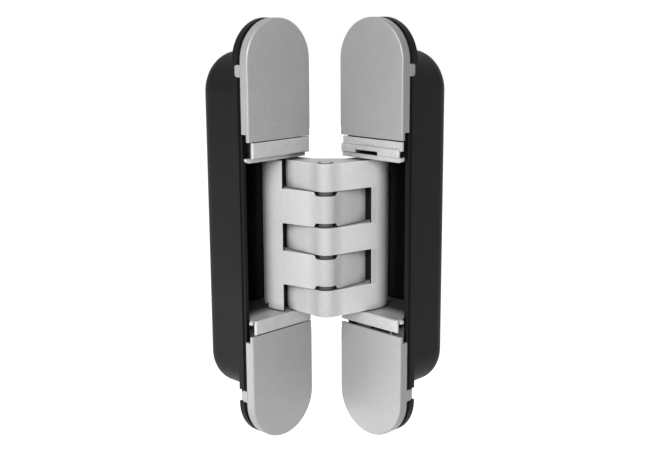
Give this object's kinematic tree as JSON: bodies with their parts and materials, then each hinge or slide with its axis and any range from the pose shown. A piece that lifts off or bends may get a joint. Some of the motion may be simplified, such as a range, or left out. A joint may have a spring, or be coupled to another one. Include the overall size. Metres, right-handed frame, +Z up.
{
  "type": "concealed door hinge",
  "caption": "Concealed adjustable door hinge with two pocket housings, cover plates and crossed interleaved arms on a central pin, shown open at a right angle.",
  "frame": {"origin": "centre of the jamb leaf's two fixing holes, in the back plane of its flange", "axes": "+Z up along the pins and the leaves' long sides, +X out of the jamb leaf towards the room, +Y from the jamb leaf's middle towards the door leaf, which faces -Y with the hinge half open"},
  "size_m": [0.05, 0.05, 0.1182],
  "materials": {
    "black_housing": "satin black moulding",
    "silver_carrier": "satin silver on die casting",
    "silver_cover": "fine-grained satin silver",
    "silver_arm": "fine-grained satin silver on die casting",
    "steel_pin": "ground steel",
    "glide_plastic": "acetal",
    "dark_washer": "dark grey acetal",
    "zinc_screw": "zinc plated"
  },
  "bodies": {
    "jamb_leaf": {"jamb_housing": "black_housing", "jamb_upper_carrier": "silver_carrier", "jamb_lower_carrier": "silver_carrier", "jamb_upper_cover": "silver_cover", "jamb_lower_cover": "silver_cover", "jamb_upper_clamp_screw": "zinc_screw", "jamb_lower_clamp_screw": "zinc_screw", "jamb_upper_adjusting_screw": "zinc_screw", "jamb_lower_adjusting_screw": "zinc_screw", "jamb_pivot_pin": "steel_pin"},
    "door_arm": {"door_arm": "silver_arm", "centre_pin": "steel_pin", "door_slide_pin": "steel_pin", "door_upper_glide": "glide_plastic", "door_lower_glide": "glide_plastic"},
    "jamb_arm": {"jamb_arm": "silver_arm", "jamb_slide_pin": "steel_pin", "jamb_upper_glide": "glide_plastic", "jamb_lower_glide": "glide_plastic", "first_washer": "dark_washer", "second_washer": "dark_washer", "third_washer": "dark_washer", "fourth_washer": "dark_washer"},
    "door_leaf": {"door_housing": "black_housing", "door_upper_carrier": "silver_carrier", "door_lower_carrier": "silver_carrier", "door_upper_cover": "silver_cover", "door_lower_cover": "silver_cover", "door_upper_clamp_screw": "zinc_screw", "door_lower_clamp_screw": "zinc_screw", "door_upper_adjusting_screw": "zinc_screw", "door_lower_adjusting_screw": "zinc_screw", "door_pivot_pin": "steel_pin"}
  },
  "joints": [
    {"name": "jamb_pivot", "type": "hinge", "parent": "jamb_leaf", "child": "door_arm", "pos_m": [-0.00128, 0.00801, 0], "axis": [0, 0, 1], "range_deg": [-50.4, 50.4]},
    {"name": "centre_pivot", "type": "hinge", "parent": "door_arm", "child": "jamb_arm", "pos_m": [0.01572, 0.00765, 0], "axis": [0, 0, 1], "range_deg": [-10.81, 10.81]},
    {"name": "door_pivot", "type": "hinge", "parent": "jamb_arm", "child": "door_leaf", "pos_m": [0.01536, 0.02465, 0], "axis": [0, 0, 1], "range_deg": [-50.41, 50.41]}
  ],
  "couplings": [
    {"joint": "centre_pivot", "follows": "jamb_pivot", "ratio": -0.21429},
    {"joint": "door_pivot", "follows": "jamb_pivot", "ratio": 1}
  ]
}
